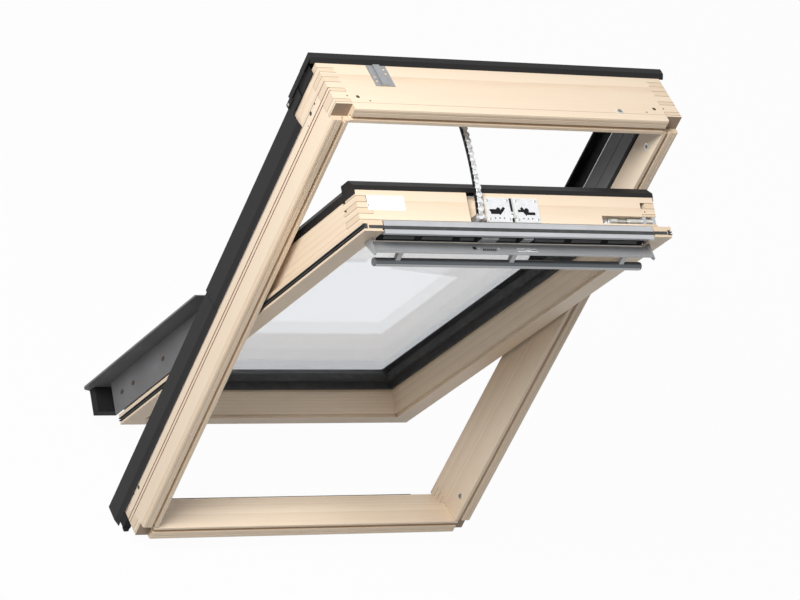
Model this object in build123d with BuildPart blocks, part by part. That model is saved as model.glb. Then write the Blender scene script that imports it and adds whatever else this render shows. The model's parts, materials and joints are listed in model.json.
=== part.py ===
"""Centre pivot roof window with an electric chain opener, shown with its sash open.

X runs across the window, Y out of the roof and Z up the slope. The origin is in the middle of
the underside of the timber frame. The sash is modelled shut and then swung open on its pivot.
"""
from build123d import *
from math import cos, radians, sin
import os

os.makedirs("parts", exist_ok=True)

# Driving dimensions of the timber frame
frame_width = 780.0
frame_length = 1178.0
stile_width = 36.0
rail_height = 36.0
outer_y = 59.0
block_y = -55.0
nose_y = -68.0
seat_y = -8.0
seat_step = 3.0
outer_chamfer = 9.0
sill_height = 33.5
sill_ridge = 26.5
sill_step = 16.0
sill_toe = 2.0
sill_outer_y = 42.0
strip_width = 20.0
strip_line = 10.0
strip_round = 4.0
lining_groove_width = 8.0
lining_groove_depth = 10.0
sill_strip_lap = 8.0
strip_end = 30.0
strip_foot = 36.0
kerf_width = 1.6
kerf_depth = 2.0
kerf_ys = (-11.2, -19.9)
frame_layers = (-55.0, -50.0, -41.0, -20.0, -10.5, 6.5, 20.5, 34.0, 47.0, 59.0)

# Driving dimensions of the sash, with depths taken outwards from its room face
side_gap = 8.0
sash_y = -22.0
sash_foot = 34.1
sash_head = 55.9
lip_step = 10.0
lip_depth = 22.0
seal_groove_start = 4.5
seal_groove_end = 15.0
sash_stile_width = 42.0
sash_top_step = 26.0
vent_depth = 34.0
vent_floor = 48.0
sash_top_height = 78.0
sash_bottom_height = 34.0
sash_foot_step = 8.5
bead_start = 1.6
bead_end = 8.6
bead_depth = 3.0
glazing_seat = 64.0
glazing_rebate = 11.0
sash_depth = 93.5
sash_fingers = 5
sash_open_angle = 25.0

# Glass
glass_level = 96.0
pane_thickness = 4.0
pane_gap = 12.0
glass_margin = 17.0
spacer_width = 10.0
gasket_lip = 5.0
gasket_step = 10.0
gasket_middle = 80.0
gasket_cover = 8.0

# Pivot
pivot_y = 70.0
pivot_drop = 14.5
pivot_pin_radius = 6.0
pivot_plate_length = 80.0
pivot_plate_low = 34.0
pivot_plate_high = 12.0
pivot_plate_thickness = 3.0
pin_clearance = 0.3

# Metal covers
sheet = 1.6
wall_gap = 4.0
cover_foot_y = 10.0
cover_bend_y = 26.0
upper_cover_y = 70.0
lower_cover_y = 63.0
flange_width = 29.0
flange_return = 6.0
cover_tail = 42.0
cover_stop = 2.0
lower_cover_return = 8.0
lining_start = 36.0
cap_slope_y = 66.5
cap_y = 79.0
cap_rise = 7.0
cap_side = 10.0
cap_leg = 13.0
cap_flange = 45.0
cap_tail = 102.0
sash_leg_start = 86.0
sash_leg_end = 100.0
top_cover_start = 94.0
top_cover_end = 102.0
sash_cover_glass = 44.0
skirt_gap = 8.0
skirt_start = 26.0
skirt_tail = 14.0
flange_level = 98.8
flange_inset = 0.5
sash_flange_lip = 3.0
sash_cover_tail = 65.0
sash_cover_split = 24.0
pivot_cover_gap = 46.0
plug_depth = 55.0
plug_width = 52.0
plug_length = 25.0
bottom_flange_height = 73.0
bottom_slope = 14.0
drip_height = 6.0
drip_inset = 50.0

# Ventilation rail and flap, with places taken from the room face and the top of the sash
rail_end_gap = 1.5
flap_lap = 8.0
flap_axis_out = 4.0
flap_axis_down = 48.0
flap_width = 25.0
flap_rise = 17.0
flap_half_thickness = 1.5
flap_barrel_radius = 2.5
flap_pin_radius = 1.2
flap_pin_length = 8.0
cheek_thickness = 2.5
cheek_gap = 0.5
handle_inset = 13.5
handle_radius = 8.5
handle_out = 32.5
handle_down = 15.5
handle_brackets_inset = 102.0
handle_bracket_width = 10.0

# Chain opener
operator_length = 260.0
operator_y = 20.0
operator_depth = 38.0
operator_height = 28.0
operator_x = -85.0
chain_x = -74.0
chain_start_drop = 20.0
link_pitch = 12.0
link_height = 9.0
link_half = 6.0
chain_bow = 13.0
pin_out = 40.0
pin_up = 8.0
pin_radius = 2.0

# Ironmongery
notch_width = 36.0
notch_depth = 20.0
plate_width = 56.0
plate_depth = 50.0
plate_thickness = 2.0
plate_xs = (-27.0, 37.0)
keyhole_radius = 5.0
bracket_inset = 93.0
bracket_y = 28.0
bracket_width = 42.0
bracket_depth = 58.0
bracket_rib_width = 14.0
bracket_rib = 3.0
bracket_hole_radius = 3.0
bracket_hole_pitch = 28.0
bracket_hole_row = 12.0
bracket_hole_ys = (13.0, 35.0)
bush_radius = 4.5
bush_rim = 7.0
bush_rim_thickness = 1.5
bush_depth = 9.0
bush_y = -45.0
bush_end = 88.0
top_bush_inset = 122.0
bolt_depth = 45.0
bolt_drop = 7.5
bolt_radius = 5.5
bolt_rod_radius = 2.5
bolt_clearance = 1.0
bolt_setback = 1.0
bolt_barrel = 62.0
bolt_rod = 27.0
bolt_knob = 16.0
bolt_travel = 28.0
saddle_width = 8.0
recess_width = 16.0
recess_depth = 15.0
recess_length = 127.0
latch_x = -58.0
latch_width = 38.0
hook_x = 28.0
hook_width = 40.0
latch_out = 5.0
latch_height = 24.0

# Places worked out from the driving dimensions
half_width = frame_width / 2
opening_half = half_width - stile_width
seat_half = opening_half + seat_step
top_rail_z = frame_length - rail_height
groove_floor = nose_y + lining_groove_depth
lip_half = opening_half - side_gap
sash_half = lip_half - lip_step
sash_inner = lip_half - sash_stile_width
sash_outer_y = sash_y + sash_depth
sash_bottom_z = sash_foot
sash_top_z = frame_length - sash_head
timber_top_z = sash_top_z - sash_top_step
sash_top_inner = sash_top_z - sash_top_height
sash_bottom_inner = sash_bottom_z + sash_bottom_height
pivot_z = frame_length / 2 - pivot_drop
pivot = Axis((0, pivot_y, pivot_z), (1, 0, 0))
glass_y = sash_y + glass_level
glass_outer_y = glass_y + 2 * pane_thickness + pane_gap
glass_half = sash_half - glass_margin
glass_bottom = sash_bottom_z + sash_foot_step + glass_margin
glass_top = timber_top_z - glass_margin
cover_half = half_width + wall_gap
flange_inner = cover_half - flange_width
bolt_y = sash_y + bolt_depth
bolt_z = timber_top_z - bolt_drop
bolt_end = sash_half - bolt_setback


def bar_across(low, high, points):
    """A bar along X with its outline given in Y and Z."""
    with BuildPart() as bar:
        with BuildSketch(Plane.YZ.offset(low)):
            with BuildLine():
                Polyline(*points, close=True)
            make_face()
        extrude(amount=high - low)
    return bar.part


def across(half, points):
    """A bar along X, as long to the left as to the right."""
    return bar_across(-half, half, points)


def along(low, high, points):
    """A bar along Z with its outline given in X and Y."""
    with BuildPart() as bar:
        with BuildSketch(Plane.XY.offset(low)):
            with BuildLine():
                Polyline(*points, close=True)
            make_face()
        extrude(amount=high - low)
    return bar.part


def folded_across(half, points):
    """Sheet metal along X, folded along a centre line in Y and Z."""
    with BuildPart() as bar:
        with BuildSketch(Plane.YZ.offset(-half)):
            with BuildLine() as line:
                Polyline(*points)
            trace(line.line, line_width=sheet)
        extrude(amount=2 * half)
    return bar.part


def folded_along(low, high, points):
    """Sheet metal along Z, folded along a centre line in X and Y."""
    with BuildPart() as bar:
        with BuildSketch(Plane.XY.offset(low)):
            with BuildLine() as line:
                Polyline(*points)
            trace(line.line, line_width=sheet)
        extrude(amount=high - low)
    return bar.part


def ring(half, low, high, border, start_y, end_y):
    """A rectangular ring standing in the plane of the glass."""
    middle = Plane(origin=(0, start_y, (low + high) / 2), x_dir=(1, 0, 0), z_dir=(0, 1, 0))
    with BuildPart() as band:
        with BuildSketch(middle):
            Rectangle(2 * half, high - low)
            if border > 0:
                Rectangle(2 * (half - border), high - low - 2 * border, mode=Mode.SUBTRACT)
        extrude(amount=end_y - start_y)
    return band.part


def mirrored(side, points):
    """The same outline for the left or the right side."""
    return [(side * x, y) for x, y in points]


def inward(points):
    """Depths from the sash's room face, turned into places in the frame's depth."""
    return [(sash_y + out, z) for out, z in points]


def fused(pieces):
    """Several shapes that touch, as one."""
    with BuildPart() as whole:
        for piece in pieces:
            add(piece)
    return whole.part


def layers_of(block, edges, first):
    """Keeps every other layer of a corner block, as the fingers of a joint."""
    with BuildPart() as fingers:
        add(block)
        for k in range(1 - first, len(edges) - 1, 2):
            thickness = edges[k + 1] - edges[k]
            with Locations((0, (edges[k] + edges[k + 1]) / 2, 0)):
                Box(4 * frame_width, thickness, 4 * frame_length, mode=Mode.SUBTRACT)
    return fingers.part


def joined(bar, blocks, edges, first):
    """A bar with the fingers of its neighbours cut out of it."""
    with BuildPart() as piece:
        add(bar)
        for block in blocks:
            add(layers_of(block, edges, first), mode=Mode.SUBTRACT)
    return piece.part


def write(shape, name):
    """Writes one fixed piece."""
    shape.label = name
    export_step(shape, f"parts/{name}.step")


def write_open(shape, name):
    """Writes one piece of the sash, swung open on the pivot."""
    write(shape.rotate(pivot, sash_open_angle), name)


# Frame stiles and rails: finger jointed bodies with the lining groove in their room strips
def stile_body(side):
    points = [(half_width, block_y), (half_width, kerf_ys[1] - kerf_width)]
    for y in reversed(kerf_ys):
        points += [(half_width, y - kerf_width / 2), (half_width - kerf_depth, y - kerf_width / 2)]
        points += [(half_width - kerf_depth, y + kerf_width / 2), (half_width, y + kerf_width / 2)]
    points += [(half_width, outer_y), (seat_half + outer_chamfer, outer_y)]
    points += [(seat_half, outer_y - outer_chamfer), (seat_half, seat_y + seat_step)]
    points += [(opening_half, seat_y), (opening_half, block_y)]
    return mirrored(side, points)


def stile_block(side):
    points = [(half_width, block_y), (half_width, outer_y), (seat_half + outer_chamfer, outer_y)]
    points += [(seat_half, outer_y - outer_chamfer), (seat_half, seat_y + seat_step)]
    points += [(opening_half, seat_y), (opening_half, block_y)]
    return along(0, frame_length, mirrored(side, points))


def strip_outline(edge, inner, way):
    """The room strip of a member, from its outer edge to the arris at the opening."""
    line = edge - way * strip_line
    groove = edge - way * strip_width
    lip = groove - way * lining_groove_width
    points = [(edge, block_y), (edge, nose_y + strip_round), (edge - way, nose_y + 1)]
    points += [(edge - way * strip_round, nose_y), (line + way, nose_y), (line, nose_y + 1.5)]
    points += [(line - way, nose_y), (groove, nose_y), (groove, groove_floor)]
    points += [(lip, groove_floor), (lip, nose_y), (inner + way, nose_y)]
    points += [(inner, nose_y + 1), (inner, block_y)]
    return points


def swapped(points):
    return [(y, x) for x, y in points]


top_body = [(block_y, frame_length), (outer_y, frame_length), (outer_y, top_rail_z)]
top_body += [(block_y, top_rail_z)]
sill_body = [(block_y, 0), (sill_outer_y, 0), (sill_outer_y, sill_toe), (seat_y + 4, sill_step)]
sill_body += [(seat_y + 1, sill_ridge - 1), (seat_y, sill_ridge), (block_y, sill_height)]
strip_xz = strip_outline(half_width, opening_half, 1)
top_strip = swapped(strip_outline(frame_length, top_rail_z, 1))
sill_strip = swapped(strip_outline(0, sill_height, -1))
rail_blocks = [across(half_width, top_body), across(half_width, sill_body)]
stile_blocks = [stile_block(-1), stile_block(1)]
bush_heights = [bush_end, frame_length - bush_end]

for name, side in (("frame_left_stile", -1), ("frame_right_stile", 1)):
    body = joined(along(0, frame_length, stile_body(side)), rail_blocks, frame_layers, 0)
    strip = along(strip_foot, frame_length - strip_end, mirrored(side, strip_xz))
    with BuildPart() as stile:
        add(fused([body, strip]))
        for z in bush_heights:
            hole = Plane(origin=(side * opening_half, bush_y, z), z_dir=(side, 0, 0))
            with BuildSketch(hole):
                Circle(bush_radius + bush_rim_thickness)
            extrude(amount=bush_depth, mode=Mode.SUBTRACT)
        if side > 0:
            with BuildSketch(Plane(origin=(seat_half, bolt_y, bolt_z), z_dir=(1, 0, 0))):
                Circle(bolt_radius + bolt_clearance)
            extrude(amount=bolt_travel - side_gap - lip_step, mode=Mode.SUBTRACT)
    write(stile.part, name)

body = joined(across(half_width, top_body), stile_blocks, frame_layers, 1)
with BuildPart() as frame_top_rail:
    add(fused([body, across(opening_half, top_strip)]))
    with BuildSketch(Plane.XY.offset(frame_length)):
        with Locations((half_width - strip_width - top_bush_inset, bush_y)):
            Circle(bush_radius + bush_rim_thickness)
    extrude(amount=-bush_depth, mode=Mode.SUBTRACT)
write(frame_top_rail.part, "frame_top_rail")

body = joined(across(half_width, sill_body), stile_blocks, frame_layers, 1)
write(fused([body, across(opening_half + sill_strip_lap, sill_strip)]), "frame_bottom_rail")


# Bushes for the bolt and for blinds
def bush(plane):
    with BuildPart() as sleeve:
        with BuildSketch(plane):
            Circle(bush_radius + bush_rim_thickness)
        extrude(amount=bush_depth)
        with BuildSketch(plane):
            Circle(bush_rim)
        extrude(amount=-bush_rim_thickness)
        with BuildSketch(plane.offset(-bush_rim_thickness)):
            Circle(bush_radius)
        extrude(amount=bush_depth, mode=Mode.SUBTRACT)
    return sleeve.part


with BuildPart() as stile_bushes:
    for side in (-1, 1):
        for z in bush_heights:
            add(bush(Plane(origin=(side * opening_half, bush_y, z), z_dir=(side, 0, 0))))
write(stile_bushes.part, "stile_bushes")
top_bush_x = half_width - strip_width - top_bush_inset
top_bush_plane = Plane(origin=(top_bush_x, bush_y, frame_length), z_dir=(0, 0, -1))
write(bush(top_bush_plane), "top_rail_bush")

# Frame side covers: a foot on the timber, a side wall, above the pivot a flange over the gap
foot_x = half_width + sheet / 2
for hand, side in (("left", -1), ("right", 1)):
    wall = [(foot_x, cover_foot_y), (foot_x, cover_foot_y + wall_gap), (cover_half, cover_bend_y)]
    upper = wall + [(cover_half, upper_cover_y), (flange_inner, upper_cover_y)]
    upper += [(flange_inner, upper_cover_y - flange_return)]
    top_end = frame_length - cover_stop
    write(folded_along(pivot_z, top_end, mirrored(side, upper)), f"frame_{hand}_upper_cover")
    lower = wall + [(cover_half, lower_cover_y), (cover_half - lower_cover_return, lower_cover_y)]
    write(folded_along(-cover_tail, pivot_z, mirrored(side, lower)), f"frame_{hand}_lower_cover")
    inside_x = seat_half - sheet / 2
    inside = [(inside_x, lining_start), (inside_x, upper_cover_y - sheet)]
    inside_low = pivot_z + pivot_plate_length / 2
    lining = folded_along(inside_low, top_rail_z, mirrored(side, inside))
    write(lining, f"frame_{hand}_channel_wall")
    fin = [(seat_half, -4), (seat_half, 2), (seat_half - 4, 2), (seat_half - 5.5, 1)]
    fin += [(seat_half - 4, 0), (seat_half - 3, -1.5), (seat_half - 5.5, -3)]
    fin += [(seat_half - 4, -4)]
    write(along(inside_low, top_rail_z, mirrored(side, fin)), f"frame_{hand}_seal")

# Top cover of the frame: a leg on the rail, a slope, a cap with side walls and a front flange
cap_z = frame_length + cap_rise
leg_y = outer_y + sheet / 2
top_line = [(leg_y, frame_length - cap_leg), (leg_y, frame_length), (cap_slope_y, cap_z)]
top_line += [(cap_y, cap_z), (cap_y, cap_z - cap_flange)]
cap_wall = [(cap_slope_y, cap_z), (cap_y, cap_z), (cap_y, frame_length - cap_tail)]
cap_wall += [(cap_slope_y, frame_length - cap_tail)]
cap_half = half_width + cap_side
with BuildPart() as frame_top_cover:
    add(folded_across(cap_half, top_line))
    for side in (-1, 1):
        with Locations((side * cap_half, outer_y, frame_length - cap_tail)):
            Box(2 * (cap_half - seat_half), 4 * sheet, 2 * (cap_tail - cover_stop),
                mode=Mode.SUBTRACT)
        with BuildSketch(Plane.YZ.offset(side * cap_half)):
            with BuildLine():
                Polyline(*cap_wall, close=True)
            make_face()
        extrude(amount=-side * sheet)
write(frame_top_cover.part, "frame_top_cover")

drip_y = sill_outer_y + sheet / 2
drip = [(drip_y + drip_height, -drip_height), (drip_y, 0), (drip_y, sill_toe)]
write(folded_across(opening_half - drip_inset, drip), "frame_drip_cover")

# Galvanised fixing bracket on the top rail
bracket_x = -(opening_half - bracket_inset)
with BuildPart() as top_bracket:
    with BuildSketch(Plane.XY.offset(frame_length)):
        with Locations((bracket_x, bracket_y)):
            Rectangle(bracket_width, bracket_depth)
    extrude(amount=plate_thickness)
    with BuildSketch(Plane.XY.offset(frame_length + plate_thickness)):
        with Locations((bracket_x, bracket_y)):
            Rectangle(bracket_rib_width, bracket_depth)
    extrude(amount=bracket_rib)
    with BuildSketch(Plane.XY.offset(frame_length)):
        for side, y in zip((-1, 1), bracket_hole_ys):
            for row in (0, 1):
                with Locations((bracket_x + side * bracket_hole_pitch / 2,
                                y + row * bracket_hole_row)):
                    Circle(bracket_hole_radius)
    extrude(amount=plate_thickness, mode=Mode.SUBTRACT)
write(top_bracket.part, "top_fixing_bracket")


# Sash timber: a rim towards the room with a seal groove round it, a narrower outer part
def sash_stile_rim(side):
    out = [(lip_half, 0), (lip_half, seal_groove_start), (sash_half + 1, seal_groove_start)]
    out += [(sash_half + 1, seal_groove_end), (lip_half, seal_groove_end), (lip_half, lip_depth)]
    out += [(sash_inner, lip_depth), (sash_inner, bead_end), (sash_inner + bead_depth, bead_end)]
    out += [(sash_inner + bead_depth, bead_start), (sash_inner, bead_start), (sash_inner, 0)]
    return [(side * x, sash_y + depth) for x, depth in out]


def sash_stile_rear(side):
    rebate_x = sash_inner + glazing_rebate
    out = [(sash_half, lip_depth), (sash_half, sash_depth), (rebate_x, sash_depth)]
    out += [(rebate_x, glazing_seat), (sash_inner, glazing_seat), (sash_inner, lip_depth)]
    return [(side * x, sash_y + depth) for x, depth in out]


def sash_stile_block(side):
    out = [(sash_inner, vent_depth), (sash_half, vent_depth), (sash_half, sash_depth)]
    out += [(sash_inner, sash_depth)]
    points = [(side * x, sash_y + depth) for x, depth in out]
    return along(sash_bottom_z, sash_top_z, points)


timber_foot = sash_bottom_z + sash_foot_step
groove_z = timber_foot + 1
vent_z = sash_top_z - vent_floor
rebate_top = sash_top_inner + glazing_rebate
rebate_foot = sash_bottom_inner - glazing_rebate
top_rear = inward([(vent_depth, sash_top_inner), (vent_depth, timber_top_z),
                   (sash_depth, timber_top_z), (sash_depth, rebate_top),
                   (glazing_seat, rebate_top), (glazing_seat, sash_top_inner)])
top_front = inward([(0, sash_top_inner), (0, vent_z), (vent_depth, vent_z),
                    (vent_depth, sash_top_inner), (bead_end, sash_top_inner),
                    (bead_end, sash_top_inner + bead_depth),
                    (bead_start, sash_top_inner + bead_depth), (bead_start, sash_top_inner)])
foot_rear = inward([(vent_depth, sash_bottom_inner), (vent_depth, timber_foot),
                    (sash_depth, timber_foot), (sash_depth, rebate_foot),
                    (glazing_seat, rebate_foot), (glazing_seat, sash_bottom_inner)])
foot_front = inward([(0, sash_bottom_z), (seal_groove_start, sash_bottom_z),
                     (seal_groove_start, groove_z), (seal_groove_end, groove_z),
                     (seal_groove_end, sash_bottom_z), (lip_depth, sash_bottom_z),
                     (lip_depth, timber_foot), (vent_depth, timber_foot),
                     (vent_depth, sash_bottom_inner), (bead_end, sash_bottom_inner),
                     (bead_end, sash_bottom_inner - bead_depth),
                     (bead_start, sash_bottom_inner - bead_depth),
                     (bead_start, sash_bottom_inner), (0, sash_bottom_inner)])

rear_start = sash_y + vent_depth
finger = (sash_depth - vent_depth) / sash_fingers
sash_layers = [rear_start + k * finger for k in range(sash_fingers + 1)]
top_block = across(sash_half, inward([(vent_depth, sash_top_inner), (sash_depth, sash_top_inner),
                                      (sash_depth, timber_top_z), (vent_depth, timber_top_z)]))
foot_block = across(sash_half, inward([(vent_depth, timber_foot), (sash_depth, timber_foot),
                                       (sash_depth, sash_bottom_inner),
                                       (vent_depth, sash_bottom_inner)]))
sash_rail_blocks = [top_block, foot_block]
sash_stile_blocks = [sash_stile_block(-1), sash_stile_block(1)]
recess_points = [(bolt_depth - recess_width / 2, timber_top_z - recess_depth),
                 (bolt_depth + recess_width / 2, timber_top_z - recess_depth),
                 (bolt_depth + recess_width / 2, timber_top_z),
                 (bolt_depth - recess_width / 2, timber_top_z)]
bolt_recess = bar_across(sash_half - recess_length, sash_half, inward(recess_points))

for hand, side in (("left", -1), ("right", 1)):
    rim = along(sash_bottom_z, sash_top_z, sash_stile_rim(side))
    rear = along(timber_foot, timber_top_z, sash_stile_rear(side))
    rear = joined(rear, sash_rail_blocks, sash_layers, 0)
    plate_y = sash_outer_y - pivot_plate_low
    with BuildPart() as sash_stile:
        add(fused([rim, rear]))
        with Locations((side * sash_half, plate_y + pivot_plate_low, pivot_z)):
            Box(2 * pivot_plate_thickness, 2 * pivot_plate_low, pivot_plate_length,
                mode=Mode.SUBTRACT)
        if side > 0:
            add(bolt_recess, mode=Mode.SUBTRACT)
    write_open(sash_stile.part, f"sash_{hand}_stile")

rear = joined(across(sash_half, top_rear), sash_stile_blocks, sash_layers, 1)
with BuildPart() as sash_top_rail:
    add(fused([rear, across(sash_inner, top_front)]))
    with Locations((chain_x, sash_outer_y, timber_top_z)):
        Box(notch_width, 2 * (sash_depth - vent_depth), 2 * notch_depth, mode=Mode.SUBTRACT)
    add(bolt_recess, mode=Mode.SUBTRACT)
write_open(sash_top_rail.part, "sash_top_rail")

rear = joined(across(sash_half, foot_rear), sash_stile_blocks, sash_layers, 1)
write_open(fused([rear, across(sash_inner, foot_front)]), "sash_bottom_rail")

# Seal in the groove round the sash: two fins down each side
seal_out = [(sash_half + 1, 6), (sash_half + 1, 13.5), (lip_half + 3, 13), (lip_half + 3, 11.5)]
seal_out += [(lip_half - 3, 11), (lip_half - 3, 8.5), (lip_half + 3, 8), (lip_half + 3, 6.5)]
with BuildPart() as sash_seal:
    for side in (-1, 1):
        add(along(sash_bottom_z + 2, sash_top_z - 2,
                  [(side * x, sash_y + depth) for x, depth in seal_out]))
write_open(sash_seal.part, "sash_seal")

# Double glazing and its gasket
pane_y = glass_y + pane_thickness + pane_gap
write_open(ring(glass_half, glass_bottom, glass_top, 0, glass_y, glass_y + pane_thickness),
           "inner_pane")
write_open(ring(glass_half, glass_bottom, glass_top, 0, pane_y, glass_outer_y), "outer_pane")
spacer = ring(glass_half - 1, glass_bottom + 1, glass_top - 1, spacer_width,
              glass_y + pane_thickness, pane_y)
write_open(spacer, "glass_spacer")

gasket_half = sash_inner + glazing_rebate - pin_clearance
gasket_low = rebate_foot + pin_clearance
gasket_high = rebate_top - pin_clearance
step_border = glazing_rebate - pin_clearance + gasket_lip
with BuildPart() as glazing_gasket:
    add(ring(gasket_half, gasket_low, gasket_high, step_border, sash_y + glazing_seat,
             sash_y + gasket_middle))
    add(ring(gasket_half, gasket_low, gasket_high, step_border + gasket_step,
             sash_y + gasket_middle, sash_outer_y))
    add(ring(gasket_half + gasket_cover, gasket_low - gasket_cover,
             gasket_high + gasket_cover, step_border + gasket_cover + gasket_step,
             sash_outer_y, glass_y))
write_open(glazing_gasket.part, "glazing_gasket")

# Sash covers above the pivot: a leg beside the timber, a slope and a lip on the glass
leg_x = sash_half + sheet / 2
edge_y = glass_outer_y + sheet / 2
cover_inner = sash_half - sash_cover_glass
crest_x = glass_half + sheet
side_cover_top = timber_top_z - sash_cover_glass
for hand, side in (("left", -1), ("right", 1)):
    strip = [(crest_x, edge_y), (cover_inner, edge_y)]
    leg = [(leg_x, sash_y + sash_leg_start), (leg_x, sash_y + sash_leg_end)] + strip
    with BuildPart() as sash_cover:
        add(folded_along(pivot_z + pivot_cover_gap, side_cover_top, mirrored(side, leg)))
        add(folded_along(pivot_z - sash_cover_split, pivot_z + pivot_cover_gap,
                         mirrored(side, strip)))
    write_open(sash_cover.part, f"sash_{hand}_upper_cover")

top_leg_z = timber_top_z + sheet / 2
crest_z = glass_top + sheet
cover_end = sash_y + top_cover_end
top_slope = [(sash_y + top_cover_start, top_leg_z), (cover_end, top_leg_z), (edge_y, crest_z)]
top_slope += [(edge_y, side_cover_top + sheet / 2)]
cheek = [(sash_y + sash_leg_start, side_cover_top), (sash_y + sash_leg_start, timber_top_z)]
cheek += [(cover_end, top_leg_z), (edge_y, crest_z), (edge_y, side_cover_top)]
with BuildPart() as sash_top_cover:
    add(folded_across(leg_x + sheet / 2, top_slope))
    for side in (-1, 1):
        with BuildSketch(Plane.YZ.offset(side * sash_half)):
            with BuildLine():
                Polyline(*cheek, close=True)
            make_face()
        extrude(amount=side * sheet)
write_open(sash_top_cover.part, "sash_top_cover")

# Sash covers below the pivot: a skirt beside the timber and a flange over the frame
flange_y = sash_y + flange_level
skirt_x = sash_half + skirt_gap + sheet / 2
tail_z = sash_bottom_z - sash_cover_tail
bottom_top = tail_z + bottom_flange_height
for hand, side in (("left", -1), ("right", 1)):
    rim = [(cover_half, flange_y), (cover_half, flange_y - sash_flange_lip)]
    flange = [(cover_inner, edge_y), (crest_x, edge_y), (sash_half - flange_inset, flange_y)]
    foot = [(cover_inner, flange_y)] + rim
    skirt = [(skirt_x, sash_y + skirt_start), (skirt_x, flange_y)]
    corner = Plane.XZ.offset(-flange_y)
    with BuildPart() as lower_cover:
        add(folded_along(tail_z, bottom_top, mirrored(side, foot)))
        add(folded_along(bottom_top, pivot_z - pivot_cover_gap, mirrored(side, flange + rim)))
        add(folded_along(pivot_z - pivot_cover_gap, pivot_z - sash_cover_split,
                         mirrored(side, [(cover_inner, edge_y), (crest_x, edge_y)])))
        add(folded_along(sash_bottom_z - skirt_tail, pivot_z - pivot_cover_gap,
                         mirrored(side, skirt)))
        with BuildSketch(corner):
            with BuildLine():
                Polyline(*mirrored(side, [
                    (cover_half - 23, tail_z), (cover_half - 7, tail_z + 8),
                    (cover_half + sheet, tail_z + 25), (cover_half + 10, tail_z + 25),
                    (cover_half + 10, tail_z - 10), (cover_half - 23, tail_z - 10)]), close=True)
            make_face()
        extrude(amount=4 * sash_flange_lip, both=True, mode=Mode.SUBTRACT)
    write_open(lower_cover.part, f"sash_{hand}_lower_cover")
    plug_x = cover_half - 23
    plug_y = flange_y - sheet / 2
    plug = [(plug_x, plug_y), (plug_x, plug_y - plug_depth), (plug_x - plug_width,
            plug_y - plug_depth), (plug_x - plug_width, plug_y)]
    write_open(along(tail_z, tail_z + plug_length, mirrored(side, plug)),
               f"sash_{hand}_end_plug")

bottom_y = flange_y + sheet
bottom_edge = [(bottom_y - sash_flange_lip - 2, tail_z - sheet), (bottom_y, tail_z - sheet)]
bottom_edge += [(bottom_y, bottom_top)]
bottom_face = [(bottom_y, bottom_top), (edge_y, bottom_top + bottom_slope)]
with BuildPart() as sash_bottom_cover:
    add(folded_across(cover_half - 24, bottom_edge))
    add(folded_across(cover_inner - sheet, bottom_face))
write_open(sash_bottom_cover.part, "sash_bottom_cover")

# Pivot hinges: a plate with a pin on the frame, a bored plate let into the sash
for hand, side in (("left", -1), ("right", 1)):
    frame_face = Plane(origin=(side * seat_half, pivot_y, pivot_z), z_dir=(-side, 0, 0))
    plate = [(opening_half, pivot_y - pivot_plate_low), (seat_half, pivot_y - pivot_plate_low)]
    plate += [(seat_half, pivot_y + pivot_plate_high), (opening_half, pivot_y + pivot_plate_high)]
    with BuildPart() as frame_hinge:
        add(along(pivot_z - pivot_plate_length / 2, pivot_z + pivot_plate_length / 2,
                  mirrored(side, plate)))
        with BuildSketch(frame_face):
            Circle(pivot_pin_radius)
        extrude(amount=seat_half - sash_half + pivot_plate_thickness)
    write(frame_hinge.part, f"{hand}_hinge_frame_plate")
    inner_x = sash_half - pivot_plate_thickness
    low = sash_outer_y - pivot_plate_low
    plate = [(inner_x, low), (sash_half, low), (sash_half, pivot_y + pivot_plate_high)]
    plate += [(inner_x, pivot_y + pivot_plate_high)]
    with BuildPart() as sash_hinge:
        add(along(pivot_z - pivot_plate_length / 2, pivot_z + pivot_plate_length / 2,
                  mirrored(side, plate)))
        with BuildSketch(frame_face):
            Circle(pivot_pin_radius + pin_clearance)
        extrude(amount=4 * (side_gap + lip_step), mode=Mode.SUBTRACT)
    write_open(sash_hinge.part, f"{hand}_hinge_sash_plate")

# Ventilation rail between the sash stiles: two ribs on top, a seal groove, an open front
rail_half = sash_inner - rail_end_gap
rail_outline = inward([
    (vent_depth, vent_z), (vent_depth, timber_top_z - 2), (22, timber_top_z), (22, sash_top_z),
    (10, sash_top_z), (10, sash_top_z - 6), (5, sash_top_z - 6), (5, sash_top_z),
    (-4.5, sash_top_z), (-4.5, sash_top_z - 8), (6, sash_top_z - 8),
    (6, vent_z + 10), (0, vent_z + 6), (0, vent_z),
])
write_open(across(rail_half, rail_outline), "vent_rail")

# Cheeks on the sash stiles beside the flap, with the pins it swings on
axis_y = sash_y - flap_axis_out
axis_z = sash_top_z - flap_axis_down
flap_half = sash_inner + flap_lap
tip_y = axis_y - flap_width
tip_z = axis_z + flap_rise
cheek = [(sash_y, axis_z - 12), (sash_y, axis_z + 12), (tip_y - 5, tip_z + 4)]
cheek += [(tip_y - 7, tip_z - 1), (axis_y - 4, axis_z - 8)]
with BuildPart() as vent_rail_ends:
    for side in (-1, 1):
        cheek_x = side * (flap_half + cheek_gap)
        with BuildSketch(Plane.YZ.offset(cheek_x)):
            with BuildLine():
                Polyline(*cheek, close=True)
            make_face()
        extrude(amount=side * cheek_thickness)
        with BuildSketch(Plane.YZ.offset(cheek_x)):
            with Locations((axis_y, axis_z)):
                Circle(flap_pin_radius)
        extrude(amount=-side * flap_pin_length)
write_open(vent_rail_ends.part, "vent_rail_ends")

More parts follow.
